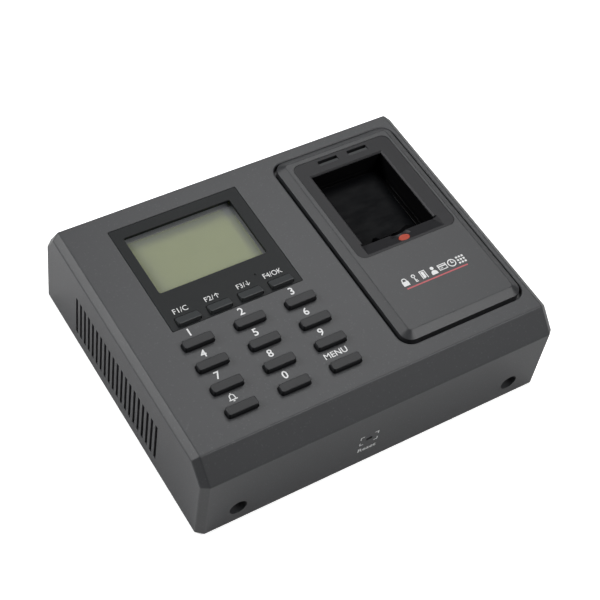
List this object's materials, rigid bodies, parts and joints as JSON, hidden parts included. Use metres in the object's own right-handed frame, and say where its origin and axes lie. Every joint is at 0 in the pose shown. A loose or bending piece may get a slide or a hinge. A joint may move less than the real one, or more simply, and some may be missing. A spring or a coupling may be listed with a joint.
{
  "type": "fingerprint scanner terminal",
  "caption": "Wall-mounted fingerprint access terminal: small screen, number and function keys, raised finger sensor panel, speaker slots, rear cover and steel wall plate.",
  "frame": {"origin": "middle of the wall side, at the outline's centre", "axes": "+Z out of the wall through the face, +Y up the wall, +X to the user's right"},
  "size_m": [0.18, 0.147, 0.0514],
  "materials": {
    "capacitor_sleeve": "shrunk sleeve",
    "chassis_abs": "moulded",
    "chip_epoxy": "moulded epoxy",
    "circuit_board": "solder mask",
    "cover_abs": "moulded",
    "diffuser_acrylic": "diffusing",
    "display_abs": "moulded, satin",
    "foam": "closed-cell foam",
    "function_key_abs": "moulded, satin",
    "guide_abs": "polished",
    "housing_abs": "moulded, fine sparkle texture",
    "insert_abs": "moulded, satin",
    "key_abs": "moulded, satin",
    "lcd_glass": "polished",
    "lens_clear": "moulded acrylic",
    "lens_red": "translucent acrylic",
    "optical_glass": "optically polished",
    "panel_abs": "moulded, satin",
    "relay_shell": "moulded",
    "ribbon": "laminated",
    "screw_black": "blackened",
    "screw_steel": "zinc plated",
    "silicone": "moulded",
    "speaker_basket": "pressed",
    "speaker_paper": "pressed fibre",
    "switch_cap": "moulded",
    "terminal_green": "moulded",
    "tinned_steel": "tinned",
    "window_acrylic": "polished acrylic",
    "zinc_plate": "zinc plated"
  },
  "bodies": {
    "root": {"backup_battery": "tinned_steel", "board_screws": "screw_steel", "camera_lens": "chassis_abs", "capacitors": "capacitor_sleeve", "cover_screws": "screw_steel", "display_panel": "display_abs", "display_ribbon": "ribbon", "display_window": "window_acrylic", "finger_guide": "guide_abs", "finger_light": "lens_red", "front_housing": "housing_abs", "indicator_lenses": "lens_clear", "keypad_board": "circuit_board", "keypad_mat": "silicone", "keypad_ribbon": "ribbon", "lcd_backlight": "diffuser_acrylic", "lcd_board": "circuit_board", "lcd_cell": "lcd_glass", "lcd_frame": "tinned_steel", "lock_terminals": "terminal_green", "locking_screws": "screw_black", "main_board": "circuit_board", "memory_chips": "chip_epoxy", "network_socket": "tinned_steel", "power_terminals": "terminal_green", "prism": "optical_glass", "processor": "chip_epoxy", "rear_cover": "cover_abs", "relay": "relay_shell", "reset_switch": "chip_epoxy", "sensor_board": "circuit_board", "sensor_board_screws": "screw_steel", "sensor_chassis": "chassis_abs", "sensor_insert": "insert_abs", "sensor_panel": "panel_abs", "sensor_ribbon": "ribbon", "speaker": "speaker_basket", "speaker_cone": "speaker_paper", "speaker_gasket": "foam", "tamper_switch": "chip_epoxy", "wall_plate": "zinc_plate"},
    "key_0": {"key_0": "key_abs"},
    "key_1": {"key_1": "key_abs"},
    "key_2": {"key_2": "key_abs"},
    "key_3": {"key_3": "key_abs"},
    "key_4": {"key_4": "key_abs"},
    "key_5": {"key_5": "key_abs"},
    "key_6": {"key_6": "key_abs"},
    "key_7": {"key_7": "key_abs"},
    "key_8": {"key_8": "key_abs"},
    "key_9": {"key_9": "key_abs"},
    "key_bell": {"key_bell": "key_abs"},
    "key_f1": {"key_f1": "function_key_abs"},
    "key_f2": {"key_f2": "function_key_abs"},
    "key_f3": {"key_f3": "function_key_abs"},
    "key_f4": {"key_f4": "function_key_abs"},
    "key_menu": {"key_menu": "key_abs"},
    "reset_button": {"reset_button": "switch_cap"},
    "tamper_pin": {"tamper_pin": "switch_cap"}
  },
  "joints": [
    {"name": "key_0_press", "type": "slide", "parent": "root", "child": "key_0", "axis": [0, 0, -1], "range_m": [0, 0.0012], "stiffness_N_per_m": 500, "springref_m": -0.0008},
    {"name": "key_1_press", "type": "slide", "parent": "root", "child": "key_1", "axis": [0, 0, -1], "range_m": [0, 0.0012], "stiffness_N_per_m": 500, "springref_m": -0.0008},
    {"name": "key_2_press", "type": "slide", "parent": "root", "child": "key_2", "axis": [0, 0, -1], "range_m": [0, 0.0012], "stiffness_N_per_m": 500, "springref_m": -0.0008},
    {"name": "key_3_press", "type": "slide", "parent": "root", "child": "key_3", "axis": [0, 0, -1], "range_m": [0, 0.0012], "stiffness_N_per_m": 500, "springref_m": -0.0008},
    {"name": "key_4_press", "type": "slide", "parent": "root", "child": "key_4", "axis": [0, 0, -1], "range_m": [0, 0.0012], "stiffness_N_per_m": 500, "springref_m": -0.0008},
    {"name": "key_5_press", "type": "slide", "parent": "root", "child": "key_5", "axis": [0, 0, -1], "range_m": [0, 0.0012], "stiffness_N_per_m": 500, "springref_m": -0.0008},
    {"name": "key_6_press", "type": "slide", "parent": "root", "child": "key_6", "axis": [0, 0, -1], "range_m": [0, 0.0012], "stiffness_N_per_m": 500, "springref_m": -0.0008},
    {"name": "key_7_press", "type": "slide", "parent": "root", "child": "key_7", "axis": [0, 0, -1], "range_m": [0, 0.0012], "stiffness_N_per_m": 500, "springref_m": -0.0008},
    {"name": "key_8_press", "type": "slide", "parent": "root", "child": "key_8", "axis": [0, 0, -1], "range_m": [0, 0.0012], "stiffness_N_per_m": 500, "springref_m": -0.0008},
    {"name": "key_9_press", "type": "slide", "parent": "root", "child": "key_9", "axis": [0, 0, -1], "range_m": [0, 0.0012], "stiffness_N_per_m": 500, "springref_m": -0.0008},
    {"name": "key_bell_press", "type": "slide", "parent": "root", "child": "key_bell", "axis": [0, 0, -1], "range_m": [0, 0.0012], "stiffness_N_per_m": 500, "springref_m": -0.0008},
    {"name": "key_f1_press", "type": "slide", "parent": "root", "child": "key_f1", "axis": [0, 0, -1], "range_m": [0, 0.0012], "stiffness_N_per_m": 500, "springref_m": -0.0008},
    {"name": "key_f2_press", "type": "slide", "parent": "root", "child": "key_f2", "axis": [0, 0, -1], "range_m": [0, 0.0012], "stiffness_N_per_m": 500, "springref_m": -0.0008},
    {"name": "key_f3_press", "type": "slide", "parent": "root", "child": "key_f3", "axis": [0, 0, -1], "range_m": [0, 0.0012], "stiffness_N_per_m": 500, "springref_m": -0.0008},
    {"name": "key_f4_press", "type": "slide", "parent": "root", "child": "key_f4", "axis": [0, 0, -1], "range_m": [0, 0.0012], "stiffness_N_per_m": 500, "springref_m": -0.0008},
    {"name": "key_menu_press", "type": "slide", "parent": "root", "child": "key_menu", "axis": [0, 0, -1], "range_m": [0, 0.0012], "stiffness_N_per_m": 500, "springref_m": -0.0008},
    {"name": "reset_press", "type": "slide", "parent": "root", "child": "reset_button", "axis": [0, 1, 0], "range_m": [0, 0.0003], "stiffness_N_per_m": 1200, "springref_m": -0.0004},
    {"name": "tamper_press", "type": "slide", "parent": "root", "child": "tamper_pin", "axis": [0, 0, 1], "range_m": [0, 0.0008], "stiffness_N_per_m": 400, "springref_m": -0.001}
  ]
}
